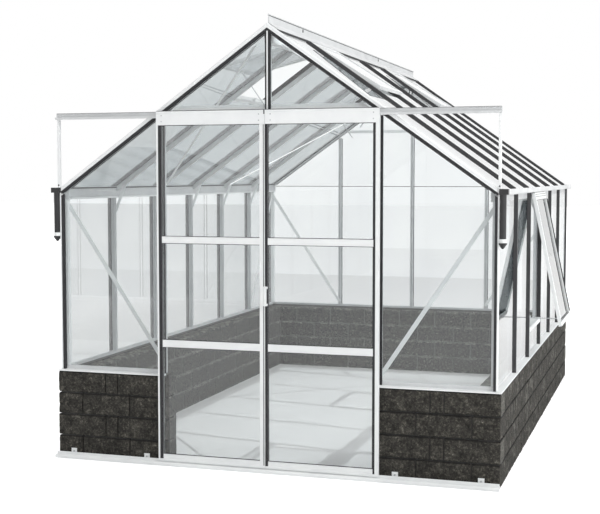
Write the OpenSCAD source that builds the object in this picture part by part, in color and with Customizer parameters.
// Greenhouse with sliding double doors, roof vents and a top-hung side window on a block wall.
// Millimetres, +Z up. The origin is on the ground at the middle of the doorway, in the plane of
// the front glass. +Y runs to the back gable and +X is to the right seen from the front.
// A layer h counts outward from the glass plane: glass and bars lie below it, caps above it.

/* [Building] */
// Distance from bar to bar along the sides
bay_pitch = 622; // [560:1:700]
// Number of bays along the sides
bay_count = 6; // [6:1:8]
// Distance from bar to bar across a gable
gable_pitch = 625; // [580:1:680]
// Height where the wall glass plane meets the roof glass plane
eave_z = 1538; // [1500:1:1640]
// Slope of the roof in degrees
roof_pitch = 35.285; // [33:0.005:38]

/* [Block wall] */
// Length of a full block
block_len = 300; // [240:1:400]
// Length of the cut block in the front walls
closer_len = 75; // [50:1:100]
// Height of one course
course_h = 125; // [110:1:140]
// Number of courses
course_count = 4; // [3:1:5]
// Thickness of the wall
wall_thick = 150; // [120:1:180]
// Distance that the wall stands out from the glass plane
wall_out = 29; // [25:1:35]
// Gap between the ends of two blocks
head_joint = 3; // [1:0.5:6]
// Gap between two courses
bed_joint = 0.5; // [0.3:0.1:0.9]
// Worn edge of a block
block_edge = 5; // [2:1:10]
// Distance from the middle of a door post to the end of the wall
jamb_back = 25; // [22:1:40]

/* [Frame] */
// Gap left at a joint between two pieces
fit_gap = 0.2; // [0.1:0.1:0.5]
// Thickness of the glass
glass_t = 4; // [3:0.5:6]
// Gap between two panes over a bar
pane_gap = 12; // [8:1:16]
// Bed on each face of a roof pane
pane_bed = 0.1; // [0.05:0.05:0.3]
// Width of a glazing bar
bar_w = 24; // [20:1:30]
// Depth of a glazing bar
bar_d = 26; // [20:1:32]
// Width of a bar cap at its top
cap_top_w = 18; // [12:1:20]
// Height of a bar cap
cap_h = 22; // [16:1:24]
// Distance of a roof bar cap's lower end from the eave
cap_end_gap = 3; // [0:0.5:8]
// Width of the sill on the wall
sill_w = 78; // [70:1:90]
// Height of the sill
sill_h = 30; // [20:1:40]
// Depth of the sill's lip over the wall
sill_lip = 23; // [10:1:35]
// Thickness of the sill's lip
sill_lip_t = 3.7; // [2:0.1:5]
// Width of a flat brace
brace_w = 24; // [16:1:30]
// Thickness of a flat brace
brace_t = 3; // [2:0.5:4]
// Distance from the eave beam down to a knee brace's foot
knee_drop = 90; // [70:1:120]
// Distance from the eave beam in to a knee brace's top
knee_in = 54; // [40:1:80]
// Distance of a knee brace's foot behind the middle of the side bar
knee_back = 8; // [4:1:10]
// Width of a knee brace
knee_w = 19; // [12:1:24]

/* [Eaves and gutters] */
// Width of the eave beam
eave_beam_w = 40; // [34:1:50]
// Distance from the eave down to the eave beam's underside
eave_beam_drop = 48; // [44:1:60]
// Width of the gutter outside the wall glass
gutter_w = 52; // [50:1:60]
// Height of the gutter's outer wall
gutter_h = 31; // [24:1:40]
// Distance from the eave down to the gutter's underside
gutter_drop = 12; // [10:1:16]
// Thickness of the gutter
gutter_t = 2; // [1.5:0.5:3]
// Outer radius of a downpipe
pipe_r = 17.5; // [15:0.5:20]
// Wall of a downpipe
pipe_t = 2.5; // [2:0.5:4]
// Height of the downpipe's lower end
pipe_end_z = 1301; // [1100:1:1400]
// Height of the collar
collar_h = 20; // [14:1:24]
// Largest radius of the spout
spout_r = 24; // [21:1:27]
// Radius of the spout's tip
spout_tip_r = 5; // [4:0.5:8]
// Depth of the outlet head at the front of a gutter
head_d = 38; // [37:1:44]
// Height of the outlet head
head_h = 29; // [24:1:34]
// Wall of the outlet head
head_wall = 3; // [2:0.5:3.5]
// Distance of the outlet head from the wall glass plane
head_side = 7; // [4:0.5:7]
// Distance that the outlet head reaches past the gutter
head_out = 3; // [2:0.5:4]
// Height of the outlet head's underside above the gutter's
head_rise = 3; // [1:0.5:5]
// Distance that the collar stands out from the pipe
collar_t = 1.5; // [1:0.5:3]
// Wall of the spout's tip
spout_wall = 2; // [1:0.5:2.5]
// Distance from the collar down to the spout's widest ring
spout_shoulder = 4; // [2:0.5:6]
// Length of the spout
spout_l = 30; // [24:1:40]

/* [Ridge] */
// Half width of the ridge beam
ridge_half = 25; // [22:1:28]
// Height of the ridge beam
ridge_beam_h = 96; // [70:1:120]
// Half width of the ridge beam's flat top
ridge_flat = 8; // [6.5:0.5:10]
// Height of the ridge beam's flat top above the apex
ridge_top = 16; // [14:0.5:17]
// Half width of the ridge cap
ridge_cap_half = 50; // [46:1:50]
// Thickness of the ridge cap
ridge_cap_t = 3; // [2:0.5:4]
// Height of the crest's tip above the apex
crest_top = 77; // [60:1:90]
// Height of the bead along the crest
crest_bead_h = 15; // [10:1:20]
// Width of the bead along the crest
crest_bead_w = 14; // [10:1:18]
// Thickness of the crest's web
crest_web_t = 6; // [3:0.5:8]
// Half width of the rib under the ridge cap
cap_rib = 6; // [4:0.5:6.5]
// Gap between two lengths of the ridge cap
ridge_joint = 0.8; // [0.4:0.1:0.9]

/* [Gables] */
// Height of the underside of the gable transoms
transom_z = 1988; // [1985:1:2040]
// Height of a transom
transom_h = 24; // [20:1:40]
// Height of the white rake cap over the roof glass plane
rake_cap_h = 20; // [14:1:21]
// Distance that the rake cap and corner caps stand out from the gable glass
rake_cap_out = 22; // [18:1:24]
// Distance that the rake cap and corner caps reach over the side glass
rake_cap_back = 12; // [8:1:16]
// Width of the black seal band along a rake
rake_seal_h = 12; // [8:1:20]
// Thickness of the black seals at the rakes and corners
seal_t = 18; // [8:1:18]
// Width of the white nose on a gable bar
nose_w = 8; // [6:1:12]
// Distance that the nose stands out from the gable glass
nose_out = 17; // [12:1:20]
// Thickness of the white nose on its black stem
nose_t = 2; // [1.5:0.5:3]
// Width of the black seal on a gable bar
post_seal_w = 33; // [28:1:36]
// Thickness of the black seal on a gable bar
post_seal_t = 4; // [3:0.5:6]
// Width of the black seal at a corner
corner_seal_w = 15; // [12:1:26]
// Gap between a rake seal and the corner seal under it
corner_break = 12; // [6:1:20]
// Thickness of the corner cap
corner_cap_t = 7; // [5:0.5:7.5]

/* [Door track] */
// Height of the sill track
sill_track_h = 19; // [14:1:22]
// Distance of the sill track's front edge from the glass plane
sill_track_out = 78; // [72:1:90]
// Width of the front bevel on the sill track
sill_bevel = 6; // [3:1:9]
// Height of the guide rib on the sill track
guide_h = 15; // [10:1:18]
// Distance of the guide rib's middle from the glass plane
guide_out = 49; // [48:0.5:50]
// Clearance between the guide rib and each side of a door's groove
guide_play = 1.5; // [1:0.25:2]
// Clearance above the guide rib
guide_head = 4; // [2:0.5:6]
// Thickness of the guide rib
guide_t = 3; // [2:0.5:4]
// Height of the threshold plate
threshold_h = 6; // [4:1:12]
// Half length of the tracks
track_half = 1268; // [1255:1:1275]
// Height of the door track
track_h = 33; // [33:1:40]
// Thickness of the door track
track_t = 4; // [3:0.5:4]
// Height of the running lip above the track's flange
lip_h = 8; // [6:1:9]
// Thickness of the running lip
lip_t = 3; // [2:0.5:3]
// Distance of the running lip's middle from the glass plane
lip_out = 44.5; // [44:0.5:46]
// Thickness of the track's back plate
track_back_t = 6; // [4:0.5:8]
// Width of the strut at each end of the door track
strut_w = 14; // [12:1:20]
// Depth of a strut
strut_t = 22; // [16:1:24]
// Distance of a strut from the wall glass plane
strut_side = 2; // [0:0.5:4]
// Clearance between the door track and the noses above and below it
track_gap = 1; // [0.5:0.25:2]

/* [Doors] */
// Distance of the door's front face from the glass plane
door_front = 60; // [58:1:62]
// Thickness of a door leaf
door_t = 22; // [20:1:22]
// Gap below a door leaf
door_gap = 7; // [5:1:8]
// Height of the underside of the door header
header_z = 1904; // [1800:1:1925]
// Height of the door header's full rail
header_rail_h = 39; // [30:1:45]
// Overlap of a leaf on the door post
door_overlap = 10; // [5:1:12]
// Gap between the two leaves
leaf_gap = 2; // [1:0.5:4]
// Height of the bottom rail
bottom_rail_h = 39; // [30:1:50]
// Height of the middle of the lower cross rail
lower_rail_z = 691; // [600:1:800]
// Height of the lower cross rail
lower_rail_h = 40; // [30:1:50]
// Height of the middle of the upper cross rail
upper_rail_z = 1271; // [1150:1:1400]
// Height of the upper cross rail
upper_rail_h = 37; // [30:1:50]
// White edge on the left leaf's outer stile
left_edge_w = 10; // [6:1:16]
// Black strip on the left leaf's outer stile
left_strip_w = 20; // [14:1:24]
// Width of the left leaf's meeting stile
left_meet_w = 29; // [20:1:34]
// White edge on the right leaf's outer stile
right_edge_w = 20; // [12:1:24]
// Black strip on the right leaf's outer stile
right_strip_w = 11; // [8:1:16]
// Width of the right leaf's meeting stile, which is black in front
right_meet_w = 16; // [12:1:24]
// Thickness of the strips
strip_t = 2; // [1:0.5:2.5]
// Depth of the rebate that the strips lie in, and thickness of the header's front plate
plate_t = 3; // [2.5:0.5:4]
// Distance that the header's front plate stands out from the leaf
plate_out = 2; // [1:0.5:2.5]
// Distance that the header's front plate reaches above the track
plate_up = 2; // [0:0.5:6]
// Distance from a leaf's front face to its glass
glass_in = 9; // [6:0.5:12]
// Height of a handle's lower end
handle_z = 921; // [800:1:1000]
// Length of a handle
handle_l = 105; // [80:1:140]
// Width of a handle
handle_w = 15; // [10:1:15]
// Depth of a handle
handle_d = 26; // [18:1:40]
// Length of a handle's foot
handle_foot = 12; // [8:1:20]
// Thickness of a handle's grip
handle_grip = 8; // [5:1:12]
// Groove radius of a roller
roller_r = 9; // [8:0.5:9]
// Height of a roller's flanges above its groove
roller_flange = 2; // [1:0.5:2]
// Width of a roller
roller_w = 10; // [8:1:11]
// Clearance of a roller's groove beside and above the running lip
roller_play = 0.3; // [0.2:0.1:0.5]
// Slant of a roller's flanges
roller_bevel = 1; // [0.5:0.5:1.5]
// Radius of a roller's axle
axle_r = 3; // [2:0.25:4]
// Running clearance of an axle, on the radius
axle_play = 0.05; // [0.02:0.01:0.1]
// Distance of a roller from the middle of its leaf
roller_off = 240; // [180:1:270]

/* [Roof vents] */
// Bay of the front vents, counted from the front
front_vent_bay = 2; // [1:1:3]
// Bay of the rear vents, counted from the front
rear_vent_bay = 5; // [4:1:6]
// Distance from the apex down the slope to the vent hinges
vent_hinge_d = 48; // [48:0.5:52]
// Height of the vent hinges above the roof glass plane
vent_hinge_h = 11; // [10.5:0.5:11]
// Length of a vent sash below its hinge
vent_len = 500; // [400:1:560]
// Gap between a vent sash and the bar caps beside it
vent_side_gap = 4; // [3:0.5:6]
// Width of the members of a vent or window sash
sash_w = 28; // [22:1:34]
// Thickness of a vent or window sash
sash_t = 20; // [16:1:20]
// Overlap of the vent sash on the rail below the opening
vent_overlap = 18; // [12:1:24]
// Width of the cross rail below a vent
vent_rail_w = 30; // [24:1:40]
// Length of a vent stay
vent_stay_len = 270; // [220:1:300]
// Distance that a vent sash reaches above its hinge
vent_lip = 1; // [0.5:0.5:1.5]
// Opening angle of the front left vent
front_left_open = 21.6; // [0:0.1:30]
// Opening angle of the other vents
other_open = 3; // [0:0.1:30]

/* [Side window] */
// Bay of the side window in the right wall
window_bay = 3; // [2:1:5]
// Distance of the window hinge from the wall glass plane
window_hinge_out = 35; // [34:1:36]
// Distance from the eave down to the window hinge
window_hinge_drop = 23; // [23:0.5:24]
// Length of the window sash below its hinge
window_len = 828; // [700:1:900]
// Height of the window's top rail
window_top_h = 41; // [30:1:50]
// Overlap of the window sash on the rail below the opening
window_overlap = 3; // [2:1:10]
// Height of the rail below the window
window_rail_h = 30; // [20:1:40]
// Opening angle of the window
window_open = 12; // [0:0.5:12]
// Largest opening angle of the window
window_swing = 12; // [12:0.5:14]
// Distance that the window sash reaches above its hinge
window_lip = 6; // [5:0.5:6.5]
// Distance of the window stay's pin from the sash's lower edge
window_pin_up = 18; // [14:1:24]
// Length of the window stay
window_stay_len = 195; // [150:1:230]

/* [Hinges and stays] */
// Radius of a hinge bead
bead_r = 4; // [3:0.5:4]
// Clearance of a sash around its hinge bead
bead_play = 0.3; // [0.2:0.05:0.5]
// Thickness of the neck that carries a bead
neck_t = 3; // [2:0.5:3.5]
// Width of a stay
stay_w = 12; // [10:1:16]
// Thickness of a stay
stay_t = 5; // [3:0.5:6]
// Radius of a stay's eye
eye_r = 7; // [6:0.5:7]
// Radius of a stay's pin
pin_r = 3; // [2:0.25:3.5]
// Distance of a stay's pin below its sash
pin_drop = 8; // [7.5:0.5:9]
// Thickness of a stay bracket's ears and of a stay fork's cheeks
ear_t = 5; // [3:0.5:6]
// Distance that a vent's stay bracket reaches under the sash's lower rail
ear_grip = 8; // [6:0.5:9]
// Clearance beside a stay in its bracket and fork
stay_play = 0.5; // [0.3:0.1:1]
// Depth of a vent's stay fork
vent_fork_d = 24; // [20:1:26]
// Height of a vent's stay fork
vent_fork_h = 10; // [6:1:14]
// Depth of the window's stay fork
window_fork_d = 20; // [14:1:30]
// Height of the window's stay fork
window_fork_h = 42; // [38:1:60]
// Distance of the window's stay fork from the back of the bars
window_fork_in = 2; // [0:0.5:6]

/* [Clips] */
// Distance of the outer sill clips from the middle
clip_outer_x = 1180; // [1100:1:1220]
// Distance of the inner sill clips from the middle
clip_inner_x = 720; // [680:1:800]
// Width and height of a clip
clip_w = 34; // [24:1:40]
// Length of a clip's foot
clip_foot = 14; // [8:1:15]
// Thickness of a clip
clip_t = 3; // [2:0.5:3.5]
// Radius of a clip screw's head
screw_r = 5; // [4:0.5:7]
// Thickness of a clip screw's head
screw_t = 3; // [2:0.5:3]

/* [Hidden] */
$fn = 48;

frame_white = "#e4e6e6";
seal_black = "#2c2c2f";
cap_grey = "#3e3e41";
block_grey = "#3a3a3c";
glass_tint = "#cfd8db";
steel = "#b4b6b8";

half_w = 2 * gable_pitch;
house_l = bay_pitch * bay_count;
apex_z = eave_z + half_w * tan(roof_pitch);
wall_top = course_h * course_count;
sill_top = wall_top + sill_h;
wall_x = half_w + wall_out;
door_half = gable_pitch - jamb_back;
bar_back = glass_t + bar_d;
roof_len = half_w / cos(roof_pitch);
beam_in = half_w - eave_beam_w;
beam_z = eave_z - eave_beam_drop;
gutter_z = eave_z - gutter_drop;
gutter_x = half_w + gutter_w;
cap_reach = cap_h * sin(roof_pitch);
post_in = gable_pitch - bar_w / 2;
post_out = gable_pitch + bar_w / 2;
track_z = header_z + header_rail_h + 2;
roller_z = track_z + track_t + lip_h + roller_r + roller_play;
leaf_w = gable_pitch + door_overlap - leaf_gap / 2;
door_z = sill_track_h + door_gap;
rail_d = vent_hinge_d + vent_len - vent_overlap;
window_hinge_x = half_w + window_hinge_out;
window_hinge_z = eave_z - window_hinge_drop;
window_rail_top = window_hinge_z - window_len + window_overlap;
stay_slot = stay_w + 2 * stay_play;
pipe_x = half_w + corner_cap_t + pipe_r + collar_t + 0.5;
pipe_y = -head_d / 2;
head_z = gutter_z + head_rise;
ridge_foot = apex_z + ridge_top - ridge_beam_h;
roller_places = [leaf_w / 2 - roller_off, leaf_w / 2 + roller_off];
sash_half = bay_pitch / 2 - bar_w / 2 - vent_side_gap;
vent_bracket = vent_len - sash_w - eye_r;
window_bracket = window_len - window_pin_up;
pin_w = -sash_t / 2 - pin_drop;
nose_foot = -rake_seal_h - fit_gap;
nose_top = min(roof_z(gable_pitch + nose_w / 2, nose_foot), track_z - track_gap);

// Height of the layer h over the roof glass plane, at a distance x from the middle
function roof_z(x, h) = apex_z - x * tan(roof_pitch) + h / cos(roof_pitch);
// Distance from the middle at which the layer h has the height z
function roof_x(z, h) = (apex_z + h / cos(roof_pitch) - z) / tan(roof_pitch);
// Middle of a bay, counted from the front
function bay_y(bay) = (bay - 0.5) * bay_pitch;
// Ends of full blocks laid from one place to another
function block_stops(from, to) =
  [for (i = [0 : ceil((to - from) / block_len) - 1]) from + i * block_len, to];

module slab(x, y, z) {
  translate([x[0], y[0], z[0]]) cube([x[1] - x[0], y[1] - y[0], z[1] - z[0]]);
}
// An outline in X and Z, drawn out along Y
module prism_y(points, y) {
  translate([0, y[1], 0]) rotate([90, 0, 0]) linear_extrude(y[1] - y[0]) polygon(points);
}
// An outline in Y and Z, drawn out along X
module prism_x(points, x) {
  translate([x[0], 0, 0]) rotate([90, 0, 90]) linear_extrude(x[1] - x[0]) polygon(points);
}
module both_sides() {
  children();
  mirror([1, 0, 0]) children();
}
module both_gables() {
  children();
  translate([0, house_l, 0]) mirror([0, 1, 0]) children();
}
// X runs down the right slope from the apex and Z is the layer h
module on_slope() {
  translate([0, 0, apex_z]) rotate([0, roof_pitch, 0]) children();
}

// Blocks along X from stop to stop, their outer face at Y = 0
module block_course(stops, level) {
  z0 = level * course_h + (level > 0 ? bed_joint : 0);
  z1 = (level + 1) * course_h;
  e = block_edge;
  outline = [[0, z0 + e], [e, z0], [wall_thick - e, z0], [wall_thick, z0 + e],
    [wall_thick, z1 - e], [wall_thick - e, z1], [e, z1], [0, z1 - e]];
  last = len(stops) - 2;
  for (i = [0 : last])
    prism_x(outline, [stops[i] + (i > 0 ? head_joint / 2 : 0),
      stops[i + 1] - (i < last ? head_joint / 2 : 0)]);
}
// Every second course of the gable walls runs through the corner
module block_wall_front() {
  color(block_grey)
    for (level = [0 : course_count - 1]) {
      through = level % 2 == 1;
      jamb_stop = wall_x - door_half;
      stops = through ? [0, block_len, block_len + closer_len, jamb_stop]
        : [wall_thick + head_joint, wall_thick + block_len, jamb_stop];
      translate([-wall_x, -wall_out, 0]) block_course(stops, level);
      mirror([1, 0, 0]) translate([-wall_x, -wall_out, 0]) block_course(stops, level);
    }
}
module block_wall_back() {
  color(block_grey)
    for (level = [0 : course_count - 1]) {
      end_x = level % 2 == 1 ? wall_x : wall_x - wall_thick - head_joint;
      translate([0, house_l + wall_out - wall_thick, 0])
        block_course(block_stops(-end_x, end_x), level);
    }
}
module block_wall_side() {
  for (level = [0 : course_count - 1]) {
    back_off = level % 2 == 1 ? wall_thick + head_joint : 0;
    translate([wall_x, 0, 0]) rotate([0, 0, 90])
      block_course(block_stops(back_off - wall_out, house_l + wall_out - back_off), level);
  }
}
module block_wall_right() {
  color(block_grey) block_wall_side();
}
module block_wall_left() {
  color(block_grey) mirror([1, 0, 0]) block_wall_side();
}

// A flat sill with a lip over the outer face of the wall
module wall_sills() {
  out = wall_out + sill_lip_t;
  inner_x = half_w + out - sill_w;
  lip_z = [wall_top - sill_lip, wall_top - fit_gap];
  color(frame_white) {
    both_sides() {
      slab([inner_x, half_w + out], [-out, house_l + out], [wall_top, sill_top]);
      slab([wall_x, half_w + out], [-out, house_l + out], lip_z);
      slab([door_half, inner_x - fit_gap], [-out, sill_w - out], [wall_top, sill_top]);
      slab([door_half, wall_x - fit_gap], [-out, -wall_out], lip_z);
    }
    far = house_l + out;
    slab([fit_gap - inner_x, inner_x - fit_gap], [far - sill_w, far], [wall_top, sill_top]);
    slab([fit_gap - wall_x, wall_x - fit_gap], [house_l + wall_out, far], lip_z);
  }
}

// An inner post at each corner and the white cap outside it
module corner_posts() {
  color(frame_white) both_sides() both_gables() {
    slab([half_w - bar_back, half_w - glass_t], [glass_t, bar_back], [sill_top, beam_z]);
    slab([half_w, half_w + corner_cap_t], [-rake_cap_out, rake_cap_back], [sill_top, gutter_z]);
  }
}
module side_bars() {
  color(frame_white) both_sides()
    for (i = [1 : bay_count - 1])
      slab([half_w - bar_back, half_w - glass_t],
        [i * bay_pitch - bar_w / 2, i * bay_pitch + bar_w / 2], [sill_top, beam_z]);
}
module side_bar_caps() {
  color(cap_grey) both_sides()
    for (i = [1 : bay_count - 1])
      translate([0, i * bay_pitch, sill_top])
        linear_extrude(gutter_z - sill_top)
          polygon([[half_w, -bar_w / 2], [half_w + cap_h, -cap_top_w / 2],
            [half_w + cap_h, cap_top_w / 2], [half_w, bar_w / 2]]);
}

// The eave beam closes the corner between wall and roof, and the gutter hangs outside it
module gutter_eaves() {
  gutter_top = gutter_z + gutter_h;
  color(frame_white) both_sides() {
    prism_y([[beam_in, beam_z], [half_w, beam_z], [half_w, roof_z(half_w, -glass_t)],
      [beam_in, roof_z(beam_in, -glass_t)]], [glass_t, house_l - glass_t]);
    slab([half_w + fit_gap, gutter_x], [0, house_l], [gutter_z, gutter_z + gutter_t]);
    slab([gutter_x - gutter_t, gutter_x], [0, house_l],
      [gutter_z + gutter_t + fit_gap, gutter_top]);
    slab([half_w, gutter_x], [house_l + fit_gap, house_l + gutter_t], [gutter_z, gutter_top]);
  }
}

// A bar under the end panes and the white cap over them
module gable_rakes() {
  rake_end = beam_in - fit_gap;
  cap_end = half_w;
  color(frame_white) both_sides() both_gables() {
    prism_y([[ridge_half, roof_z(ridge_half, -glass_t)], [ridge_half, roof_z(ridge_half, -bar_back)],
      [rake_end, roof_z(rake_end, -bar_back)], [rake_end, roof_z(rake_end, -glass_t)]],
      [glass_t, bar_back]);
    prism_y([[fit_gap / 2, roof_z(fit_gap / 2, 0)], [fit_gap / 2, roof_z(fit_gap / 2, rake_cap_h)],
      [cap_end, roof_z(cap_end, rake_cap_h)], [cap_end, roof_z(cap_end, 0)]],
      [-rake_cap_out, rake_cap_back]);
  }
}
// An outline from a foot level up to the layer h of the right slope
function under_roof(x0, x1, foot, h) =
  [[x0, foot], [x1, foot], [x1, roof_z(x1, h)], [x0, roof_z(x0, h)]];

// A nose over an outer post and one over the middle post, between two depths
module outer_nose(y) {
  slab([gable_pitch - nose_w / 2, gable_pitch + nose_w / 2], y, [sill_top, nose_top]);
}
module centre_nose(z0, y) {
  slab([-nose_w / 2, nose_w / 2], y, [z0, roof_z(nose_w / 2, nose_foot)]);
}
// Posts, and the white noses that hold the glass against them
module gable_posts() {
  nose_y = [-nose_out, nose_t - nose_out];
  color(frame_white) {
    both_gables() both_sides() {
      prism_y(under_roof(post_in, post_out, sill_top, -bar_back), [glass_t, bar_back]);
      outer_nose(nose_y);
    }
    slab([-bar_w / 2, bar_w / 2], [glass_t, bar_back],
      [transom_z + transom_h + fit_gap, ridge_foot]);
    centre_nose(track_z + track_h + track_gap, nose_y);
    translate([0, house_l, 0]) mirror([0, 1, 0]) {
      slab([-bar_w / 2, bar_w / 2], [glass_t, bar_back], [sill_top, ridge_foot]);
      centre_nose(sill_top, nose_y);
    }
  }
}

// Transoms end on the rakes, or on the posts where those reach higher
function transom_end(z) = min(roof_x(z, -bar_back), post_in) - fit_gap;
module gable_transoms() {
  z0 = transom_z;
  z1 = transom_z + transom_h;
  half = bar_w / 2 + fit_gap;
  color(frame_white) {
    prism_y([[-transom_end(z0), z0], [transom_end(z0), z0], [transom_end(z1), z1],
      [-transom_end(z1), z1]], [glass_t, bar_back]);
    both_sides()
      prism_y([[half, z0], [transom_end(z0), z0], [transom_end(z1), z1], [half, z1]],
        [house_l - bar_back, house_l - glass_t]);
  }
}

// Black seals in front of the gable glass, with stems under the noses, and under the rake caps
module gable_seals() {
  foot = nose_foot;
  end_x = half_w;
  corner_foot = foot - corner_break * cos(roof_pitch);
  post_seal = [gable_pitch - post_seal_w / 2, gable_pitch + post_seal_w / 2];
  stem_y = [nose_t - nose_out, -post_seal_t - fit_gap];
  color(seal_black) {
    both_gables() both_sides() {
      prism_y([[fit_gap / 2, roof_z(fit_gap / 2, 0)], [fit_gap / 2, roof_z(fit_gap / 2, -rake_seal_h)],
        [end_x, roof_z(end_x, -rake_seal_h)], [end_x, roof_z(end_x, 0)]], [-seal_t, 0]);
      prism_y(under_roof(half_w - corner_seal_w, half_w, sill_top, corner_foot), [-seal_t, 0]);
      slab(post_seal, [-post_seal_t, 0],
        [sill_top, min(roof_z(post_seal[1], foot), track_z - track_gap)]);
      outer_nose(stem_y);
    }
    centre_seal(track_z + track_h + track_gap, foot);
    centre_nose(track_z + track_h + track_gap, stem_y);
    translate([0, house_l, 0]) mirror([0, 1, 0]) {
      centre_seal(sill_top, foot);
      centre_nose(sill_top, stem_y);
    }
  }
}
module centre_seal(z0, foot) {
  half = post_seal_w / 2;
  prism_y([[-half, z0], [half, z0], [half, roof_z(half, foot)], [0, roof_z(0, foot)],
    [-half, roof_z(half, foot)]], [-post_seal_t, 0]);
}

module ridge_beam() {
  shoulder = ridge_top - (ridge_half - ridge_flat) * tan(roof_pitch);
  color(frame_white)
    prism_y([[-ridge_half, ridge_foot], [ridge_half, ridge_foot], [ridge_half, apex_z + shoulder],
      [ridge_flat, apex_z + ridge_top], [-ridge_flat, apex_z + ridge_top],
      [-ridge_half, apex_z + shoulder]], [rake_cap_back, house_l - rake_cap_back]);
}

// A foot on the beam, two wings on the bar caps, a web and a bead, in three lengths
module ridge_cap() {
  seat = cap_h + fit_gap;
  rib = cap_rib;
  web = crest_web_t / 2;
  bead = crest_bead_w / 2;
  top = apex_z + crest_top;
  bead_z = top - crest_bead_h;
  skirt = seat + ridge_cap_t;
  foot_z = roof_z(rib, seat) - fit_gap;
  wing = web + fit_gap;
  joints = [rake_cap_back, bay_pitch, (bay_count - 2) * bay_pitch, house_l - rake_cap_back];
  color(frame_white)
    for (i = [0 : 2]) {
      y = [joints[i] + (i > 0 ? ridge_joint / 2 : 0), joints[i + 1] - (i < 2 ? ridge_joint / 2 : 0)];
      slab([-rib, rib], y, [apex_z + ridge_top, foot_z]);
      slab([-web, web], y, [foot_z + fit_gap, bead_z]);
      both_sides()
        prism_y([[wing, roof_z(rib, seat)], [rib, roof_z(rib, seat)],
          [ridge_cap_half, roof_z(ridge_cap_half, seat)],
          [ridge_cap_half, roof_z(ridge_cap_half, skirt)], [wing, roof_z(wing, skirt)]], y);
      prism_y([[-web, bead_z + fit_gap], [web, bead_z + fit_gap], [bead, bead_z + bead / 3],
        [bead, top - bead / 2], [bead / 2, top], [-bead / 2, top], [-bead, top - bead / 2],
        [-bead, bead_z + bead / 3]], y);
    }
}

module roof_bars() {
  color(frame_white) both_sides()
    for (i = [1 : bay_count - 1])
      prism_y([[ridge_half, roof_z(ridge_half, -glass_t)], [ridge_half, roof_z(ridge_half, -bar_back)],
        [beam_in, roof_z(beam_in, -bar_back)], [beam_in, roof_z(beam_in, -glass_t)]],
        [i * bay_pitch - bar_w / 2, i * bay_pitch + bar_w / 2]);
}
module roof_bar_caps() {
  cap_start = (ridge_half + fit_gap) / cos(roof_pitch);
  color(cap_grey) both_sides()
    for (i = [1 : bay_count - 1])
      on_slope() translate([0, i * bay_pitch, 0])
        prism_x([[-bar_w / 2, 0], [bar_w / 2, 0], [cap_top_w / 2, cap_h], [-cap_top_w / 2, cap_h]],
          [cap_start, roof_len - cap_end_gap]);
}

// A flat strip between two points of a plane, square at both ends
module strip(from, to, w, t) {
  along = to - from;
  translate([from[0], from[1], 0]) rotate([0, 0, atan2(along[1], along[0])])
    translate([0, -w / 2, 0]) cube([norm(along), w, t]);
}
// Flat bars behind the glazing bars of the front roof bays, last side bays and outer gable bays
module wind_braces() {
  edge = brace_w;
  low = sill_top + edge;
  high = beam_z - edge;
  color(frame_white) {
    both_sides() on_slope()
      translate([0, 0, -bar_back - brace_t - pane_bed])
        strip([(ridge_half + 3 * edge) / cos(roof_pitch), edge / 2],
          [(beam_in - 2 * edge) / cos(roof_pitch), 2 * bay_pitch], brace_w, brace_t);
    both_sides()
      translate([half_w - bar_back, 0, 0]) rotate([90, 0, -90]) mirror([1, 0, 0])
        strip([(bay_count - 1) * bay_pitch, low], [house_l - bar_back - 2 * edge, high],
          brace_w, brace_t);
    both_gables() both_sides()
      translate([0, bar_back + brace_t, 0]) rotate([90, 0, 0])
        strip([gable_pitch, low], [half_w - bar_back + edge / 2, high], brace_w, brace_t);
  }
}
// A short strip at each bar, from the wall bar up to the roof bar
module knee_braces() {
  foot = [half_w - bar_back / 2 - knee_back, beam_z - knee_drop];
  knee_x = beam_in - knee_in;
  top = [knee_x, roof_z(knee_x, -glass_t - bar_d / 2)];
  color(frame_white) both_sides()
    for (i = [1 : bay_count - 1])
      translate([0, i * bay_pitch + bar_w / 2 + brace_t, 0]) rotate([90, 0, 0])
        strip(foot, top, knee_w, brace_t);
}

module sill_track() {
  half = wall_x - 1;
  guide = [-guide_out - guide_t / 2, -guide_out + guide_t / 2];
  color(frame_white) {
    prism_x([[-sill_track_out, 0], [-wall_out, 0], [-wall_out, sill_track_h],
      [sill_bevel - sill_track_out, sill_track_h], [-sill_track_out, sill_track_h - sill_bevel]],
      [-half, half]);
    slab([-half, half], guide, [sill_track_h + fit_gap, sill_track_h + guide_h]);
    slab([-door_half, door_half], [fit_gap - wall_out, bar_back], [0, threshold_h]);
  }
}
// A flange under a back plate, a lip that the rollers run on, and a strut at each end that
// stands on the outlet head
module door_track() {
  lip = [-lip_out - lip_t / 2, -lip_out + lip_t / 2];
  back = [-rake_cap_out - track_back_t, -rake_cap_out];
  strut_x = [half_w + strut_side, half_w + strut_side + strut_w];
  color(frame_white) {
    for (part = [[[lip[0], back[1]], [0, track_t - fit_gap]], [lip, [track_t, track_t + lip_h]],
      [back, [track_t, track_h]]])
      translate([0, 0, track_z]) slab([-track_half, track_half], part[0], part[1]);
    both_sides()
      slab(strut_x, [back[0], back[0] + strut_t],
        [head_z + head_h + fit_gap, track_z - fit_gap]);
  }
}

// Clips hold the sill track to the foot of the wall
module at_clips() {
  for (x = [-clip_outer_x, -clip_inner_x, clip_inner_x, clip_outer_x])
    translate([x, -wall_out, sill_track_h]) children();
}
module sill_clips() {
  color(frame_white) at_clips()
    prism_x([[0, 0], [0, clip_w], [-clip_t, clip_w], [-clip_t, clip_t], [-clip_foot, clip_t],
      [-clip_foot, 0]], [-clip_w / 2, clip_w / 2]);
}
module clip_screws() {
  color(steel) at_clips()
    translate([0, -clip_t, clip_w / 2]) rotate([90, 0, 0]) cylinder(r = screw_r, h = screw_t);
}

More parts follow.
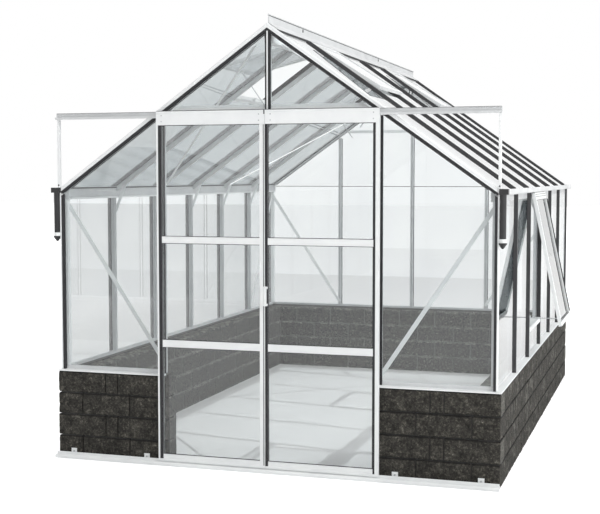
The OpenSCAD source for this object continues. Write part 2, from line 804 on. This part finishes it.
// A closed box in front of the gutter, with the downpipe under it
module downpipes() {
  head_x = [half_w + head_side, gutter_x + head_out];
  color(seal_black) both_sides() difference() {
    union() {
      slab(head_x, [-head_d, 0], [head_z, head_z + head_h]);
      translate([pipe_x, pipe_y, pipe_end_z]) cylinder(r = pipe_r, h = head_z - pipe_end_z + 1);
    }
    slab([head_x[0] + head_wall, head_x[1] - head_wall - gutter_t], [head_wall - head_d, 1],
      [head_z + head_wall, head_z + head_h - head_wall]);
    translate([pipe_x, pipe_y, pipe_end_z - 1])
      cylinder(r = pipe_r - pipe_t, h = head_z - pipe_end_z + head_wall + 2);
  }
}
module pipe_collars() {
  color(frame_white) both_sides()
    translate([pipe_x, pipe_y, pipe_end_z - collar_h]) difference() {
      cylinder(r = pipe_r + collar_t, h = collar_h);
      translate([0, 0, -1]) cylinder(r = pipe_r - pipe_t, h = collar_h + 2);
    }
}
// A pointed spout, flat on the side of the corner cap
module pipe_spouts() {
  bore = pipe_r - pipe_t;
  flat = pipe_r + collar_t;
  color(seal_black) both_sides()
    translate([pipe_x, pipe_y, pipe_end_z - collar_h]) difference() {
      rotate_extrude()
        polygon([[bore, 0], [flat, 0], [spout_r, -spout_shoulder],
          [spout_tip_r, -spout_l], [spout_tip_r - spout_wall, -spout_l],
          [bore, -spout_shoulder - spout_wall]]);
      translate([-flat - spout_r, -spout_r, -spout_l]) cube([spout_r, 2 * spout_r, spout_l]);
    }
}

// Panes reach half way over the bars, less half the gap between two panes
function pane_span(i) = [i * bay_pitch + pane_gap / 2, (i + 1) * bay_pitch - pane_gap / 2];
module side_glass() {
  x = [half_w - glass_t, half_w];
  color(glass_tint)
    for (i = [0 : bay_count - 1]) {
      short = i == window_bay - 1;
      slab(x, pane_span(i), [sill_top, short ? window_rail_top - window_rail_h : beam_z]);
      mirror([1, 0, 0]) slab(x, pane_span(i), [sill_top, beam_z]);
    }
}
module gable_glass() {
  gap = pane_gap / 2;
  mid = transom_z + transom_h / 2;
  top = -glass_t / 2;
  wide = roof_x(mid, top);
  strip_z = eave_z;
  color(glass_tint) {
    both_sides() {
      prism_y(under_roof(gable_pitch + gap, half_w - gap, sill_top, top), [0, glass_t]);
      prism_y([[gap, mid], [wide, mid], [gap, roof_z(gap, top)]], [0, glass_t]);
    }
    translate([0, house_l, 0]) mirror([0, 1, 0]) both_sides() {
      prism_y(under_roof(gable_pitch + gap, half_w - gap, sill_top, top), [0, glass_t]);
      slab([gap, gable_pitch - gap], [0, glass_t], [sill_top, strip_z]);
      prism_y([[gap, strip_z + gap], [gable_pitch - gap, strip_z + gap],
        [gable_pitch - gap, roof_z(gable_pitch - gap, top)], [gap, roof_z(gap, top)]],
        [0, glass_t]);
    }
  }
}
module roof_pane(i, start) {
  under = pane_bed - glass_t;
  prism_y([[start, roof_z(start, -pane_bed)], [start, roof_z(start, under)],
    [half_w, roof_z(half_w, under)], [half_w, roof_z(half_w, -pane_bed)]], pane_span(i));
}
module roof_glass() {
  below_vent = (rail_d + vent_rail_w) * cos(roof_pitch);
  color(glass_tint) both_sides()
    for (i = [0 : bay_count - 1]) {
      has_vent = i == front_vent_bay - 1 || i == rear_vent_bay - 1;
      roof_pane(i, has_vent ? below_vent : ridge_half);
    }
}

// Two cheeks that a stay runs between
module stay_fork(depth, h) {
  for (side = [-1, 1])
    translate([0, side * (stay_slot + ear_t) / 2 - ear_t / 2, 0]) cube([depth, ear_t, h]);
}
// The rails below the vents and below the window, each with its stay fork
module opening_rails() {
  span = [(bar_w - bay_pitch) / 2 + fit_gap, (bay_pitch - bar_w) / 2 - fit_gap];
  color(frame_white) {
    both_sides()
      for (bay = [front_vent_bay, rear_vent_bay])
        on_slope() translate([0, bay_y(bay), 0]) {
          prism_y([[rail_d, -bar_back], [rail_d + vent_rail_w, -bar_back],
            [rail_d + vent_rail_w, 0], [rail_d, 0]], span);
          translate([rail_d - vent_fork_d - fit_gap, 0, -bar_back])
            stay_fork(vent_fork_d, vent_fork_h);
        }
    translate([0, bay_y(window_bay), 0]) {
      slab([half_w - bar_back, half_w + cap_h], span,
        [window_rail_top - window_rail_h, window_rail_top]);
      translate([half_w - bar_back + window_fork_in, 0, window_rail_top + fit_gap])
        stay_fork(window_fork_d, window_fork_h);
    }
  }
}
// Round beads that the sashes hang on, each on a neck
module hinge_rails() {
  half = bay_pitch / 2 - bar_w / 2 - vent_side_gap;
  start = (ridge_half - vent_hinge_h * sin(roof_pitch)) / cos(roof_pitch);
  slope_cut = neck_t / 2 * tan(roof_pitch);
  color(frame_white) {
    both_sides()
      for (bay = [front_vent_bay, rear_vent_bay])
        on_slope() translate([0, bay_y(bay), vent_hinge_h]) {
          prism_y([[start + slope_cut, -neck_t / 2], [vent_hinge_d, -neck_t / 2],
            [vent_hinge_d, neck_t / 2], [start - slope_cut, neck_t / 2]], [-half, half]);
          translate([vent_hinge_d, half, 0]) rotate([90, 0, 0]) cylinder(r = bead_r, h = 2 * half);
        }
    translate([window_hinge_x, bay_y(window_bay), window_hinge_z]) {
      slab([-neck_t / 2, neck_t / 2], [-half, half], [0, gutter_z - window_hinge_z]);
      translate([0, half, 0]) rotate([90, 0, 0]) cylinder(r = bead_r, h = 2 * half);
    }
  }
}

// One door leaf, from its meeting edge outward along +X
function stile_w(edge_w, strip_w) = edge_w + strip_w;
module leaf_frame(edge_w, strip_w, meet_w, meet_black) {
  y0 = -door_front;
  y1 = door_t - door_front;
  back = y0 + plate_t;
  outer_x = leaf_w - stile_w(edge_w, strip_w);
  rail_x = [meet_w + fit_gap, outer_x - fit_gap];
  skirt_top = sill_track_h + guide_h + guide_head;
  stile_z = [skirt_top + fit_gap, header_z - fit_gap];
  groove = guide_t / 2 + guide_play;
  slab([0, meet_w], [meet_black ? back : y0, y1], stile_z);
  slab([outer_x, leaf_w], [back, y1], stile_z);
  slab([leaf_w - edge_w, leaf_w], [y0, back - fit_gap], stile_z);
  slab(rail_x, [y0, y1], [skirt_top + fit_gap, door_z + bottom_rail_h]);
  slab(rail_x, [y0, y1], [lower_rail_z - lower_rail_h / 2, lower_rail_z + lower_rail_h / 2]);
  slab(rail_x, [y0, y1], [upper_rail_z - upper_rail_h / 2, upper_rail_z + upper_rail_h / 2]);
  slab([0, leaf_w], [y0, -guide_out - groove], [door_z, skirt_top]);
  slab([0, leaf_w], [groove - guide_out, y1], [door_z, skirt_top]);
  plate = [y0 - plate_out, back - plate_out];
  slab([0, leaf_w], [plate[1] + fit_gap, y1], [header_z, header_z + header_rail_h]);
  slab([0, leaf_w], plate, [header_z, track_z + track_h + plate_up]);
  for (x = roller_places)
    translate([x, plate[1] + fit_gap, roller_z]) rotate([-90, 0, 0])
      cylinder(r = axle_r, h = roller_w / 2 - lip_out - plate[1] - fit_gap);
}
module leaf_glass(edge_w, strip_w, meet_w) {
  x = [meet_w + fit_gap, leaf_w - stile_w(edge_w, strip_w) - fit_gap];
  y = [glass_in - door_front, glass_in - door_front + glass_t];
  low = lower_rail_z - lower_rail_h / 2;
  high = upper_rail_z - upper_rail_h / 2;
  color(glass_tint) {
    slab(x, y, [door_z + bottom_rail_h, low]);
    slab(x, y, [low + lower_rail_h, high]);
    slab(x, y, [high + upper_rail_h, header_z]);
  }
}
module leaf_seals(edge_w, strip_w, meet_w, meet_black) {
  y = [-door_front + plate_t - strip_t, -door_front + plate_t];
  z = [sill_track_h + guide_h + guide_head + fit_gap, header_z - fit_gap];
  outer_x = leaf_w - stile_w(edge_w, strip_w);
  color(seal_black) {
    slab([outer_x, leaf_w - edge_w], y, z);
    if (meet_black) slab([0, meet_w], y, z);
  }
}
// A pull with a foot at each end, on the meeting stile
module leaf_handle(seat_y) {
  color(frame_white) {
    slab([0, handle_w], [-door_front - handle_d, handle_grip - door_front - handle_d],
      [handle_z, handle_z + handle_l]);
    for (z = [handle_z, handle_z + handle_l - handle_foot])
      slab([0, handle_w], [-door_front - handle_d, seat_y], [z, z + handle_foot]);
  }
}
module place_leaf(side) {
  mirror([side < 0 ? 1 : 0, 0, 0]) translate([leaf_gap / 2, 0, 0]) children();
}
// A hub on the running lip between two flanges
module roller(side, place) {
  flange_r = roller_r + roller_flange;
  groove = lip_t / 2 + roller_play;
  half = roller_w / 2;
  bore = axle_r + axle_play;
  hub = groove - fit_gap;
  color(seal_black) place_leaf(side)
    translate([roller_places[place], -lip_out, roller_z]) rotate([90, 0, 0]) {
      rotate_extrude() polygon([[bore, -hub], [roller_r, -hub], [roller_r, hub], [bore, hub]]);
      for (s = [-1, 1])
        rotate_extrude()
          polygon([[bore, s * groove], [roller_r, s * groove], [flange_r, s * (groove + roller_bevel)],
            [flange_r, s * half], [bore, s * half]]);
    }
}
module left_door_frame() {
  color(frame_white) place_leaf(-1) leaf_frame(left_edge_w, left_strip_w, left_meet_w, false);
}
module left_door_glass() { place_leaf(-1) leaf_glass(left_edge_w, left_strip_w, left_meet_w); }
module left_door_seals() {
  place_leaf(-1) leaf_seals(left_edge_w, left_strip_w, left_meet_w, false);
}
module left_door_handle() { place_leaf(-1) leaf_handle(-door_front); }
module right_door_frame() {
  color(frame_white) place_leaf(1) leaf_frame(right_edge_w, right_strip_w, right_meet_w, true);
}
module right_door_glass() { place_leaf(1) leaf_glass(right_edge_w, right_strip_w, right_meet_w); }
module right_door_seals() {
  place_leaf(1) leaf_seals(right_edge_w, right_strip_w, right_meet_w, true);
}
module right_door_handle() { place_leaf(1) leaf_handle(plate_t - strip_t - door_front); }

// A shut sash: X runs from the hinge to the free edge and Z is outward
module sash_frame(length, top_h, side_y, bracket_x, lip) {
  half = sash_t / 2;
  groove_r = bead_r + bead_play;
  slot = neck_t / 2 + lip * tan(window_swing) + bead_play;
  side_x = [top_h + fit_gap, length];
  ear_x = [bracket_x - eye_r, max(bracket_x + eye_r, length - sash_w + ear_grip)];
  difference() {
    slab([-lip, top_h], [-side_y, side_y], [-half, half]);
    translate([0, side_y + 1, 0]) rotate([90, 0, 0]) cylinder(r = groove_r, h = 2 * side_y + 2);
    slab([-half, 0], [-side_y - 1, side_y + 1], [-slot, slot]);
  }
  for (s = [-1, 1])
    slab(side_x, s > 0 ? [side_y - sash_w, side_y] : [-side_y, sash_w - side_y], [-half, half]);
  slab([length - sash_w, length], [sash_w + fit_gap - side_y, side_y - sash_w - fit_gap],
    [-half, half]);
  for (s = [-1, 1])
    translate([0, s * (stay_slot + ear_t) / 2 - ear_t / 2, 0])
      slab(ear_x, [0, ear_t], [-half - pin_drop - eye_r, -half - fit_gap]);
  translate([bracket_x, stay_slot / 2 + ear_t, -half - pin_drop])
    rotate([90, 0, 0]) cylinder(r = pin_r, h = stay_slot + 2 * ear_t);
}
module sash_glass(length, top_h, side_y) {
  color(glass_tint)
    slab([top_h + fit_gap, length - sash_w - fit_gap],
      [sash_w + fit_gap - side_y, side_y - sash_w - fit_gap], [-glass_t / 2, glass_t / 2]);
}
// A flat bar with an eye, hanging from its pin along -Z
module stay(length) {
  difference() {
    union() {
      translate([0, stay_w / 2, 0]) rotate([90, 0, 0]) cylinder(r = eye_r, h = stay_w);
      slab([-stay_t / 2, stay_t / 2], [-stay_w / 2, stay_w / 2], [-length, 0]);
    }
    translate([0, stay_w, 0]) rotate([90, 0, 0])
      cylinder(r = pin_r + axle_play, h = 2 * stay_w);
  }
}

module place_vent(side, bay, open) {
  mirror([side < 0 ? 1 : 0, 0, 0]) on_slope()
    translate([vent_hinge_d, bay_y(bay), vent_hinge_h]) rotate([0, -open, 0]) children();
}
module vent_frame(side, bay, open) {
  color(frame_white) place_vent(side, bay, open)
    sash_frame(vent_len, sash_w, sash_half, vent_bracket, vent_lip);
}
module vent_glass(side, bay, open) {
  place_vent(side, bay, open) sash_glass(vent_len, sash_w, sash_half);
}
// A vent stay stays square to the roof while its sash turns
module vent_stay(side, bay, open) {
  color(steel) place_vent(side, bay, open)
    translate([vent_bracket, 0, pin_w]) rotate([0, open, 0]) stay(vent_stay_len);
}

module place_window() {
  translate([window_hinge_x, bay_y(window_bay), window_hinge_z])
    rotate([0, 90 - window_open, 0]) children();
}
module window_frame() {
  color(frame_white) place_window()
    sash_frame(window_len, window_top_h, sash_half, window_bracket, window_lip);
}
module window_glass() {
  place_window() sash_glass(window_len, window_top_h, sash_half);
}
// The window stay stays level while the sash turns
module window_stay() {
  color(steel) place_window()
    translate([window_bracket, 0, pin_w]) rotate([0, window_open, 0]) stay(window_stay_len);
}

block_wall_front();
block_wall_left();
block_wall_right();
block_wall_back();
wall_sills();
corner_posts();
side_bars();
side_bar_caps();
gutter_eaves();
gable_rakes();
gable_posts();
gable_transoms();
gable_seals();
ridge_beam();
ridge_cap();
roof_bars();
roof_bar_caps();
wind_braces();
knee_braces();
sill_track();
door_track();
sill_clips();
clip_screws();
downpipes();
pipe_collars();
pipe_spouts();
side_glass();
gable_glass();
roof_glass();
opening_rails();
hinge_rails();
left_door_frame();
left_door_glass();
left_door_seals();
left_door_handle();
roller(-1, 1);  // left_roller_outer
roller(-1, 0);  // left_roller_inner
right_door_frame();
right_door_glass();
right_door_seals();
right_door_handle();
roller(1, 1);  // right_roller_outer
roller(1, 0);  // right_roller_inner
window_frame();
window_glass();
window_stay();
vent_frame(-1, front_vent_bay, front_left_open);  // vent_left_front_frame
vent_glass(-1, front_vent_bay, front_left_open);  // vent_left_front_glass
vent_stay(-1, front_vent_bay, front_left_open);  // vent_left_front_stay
vent_frame(-1, rear_vent_bay, other_open);  // vent_left_rear_frame
vent_glass(-1, rear_vent_bay, other_open);  // vent_left_rear_glass
vent_stay(-1, rear_vent_bay, other_open);  // vent_left_rear_stay
vent_frame(1, front_vent_bay, other_open);  // vent_right_front_frame
vent_glass(1, front_vent_bay, other_open);  // vent_right_front_glass
vent_stay(1, front_vent_bay, other_open);  // vent_right_front_stay
vent_frame(1, rear_vent_bay, other_open);  // vent_right_rear_frame
vent_glass(1, rear_vent_bay, other_open);  // vent_right_rear_glass
vent_stay(1, rear_vent_bay, other_open);  // vent_right_rear_stay
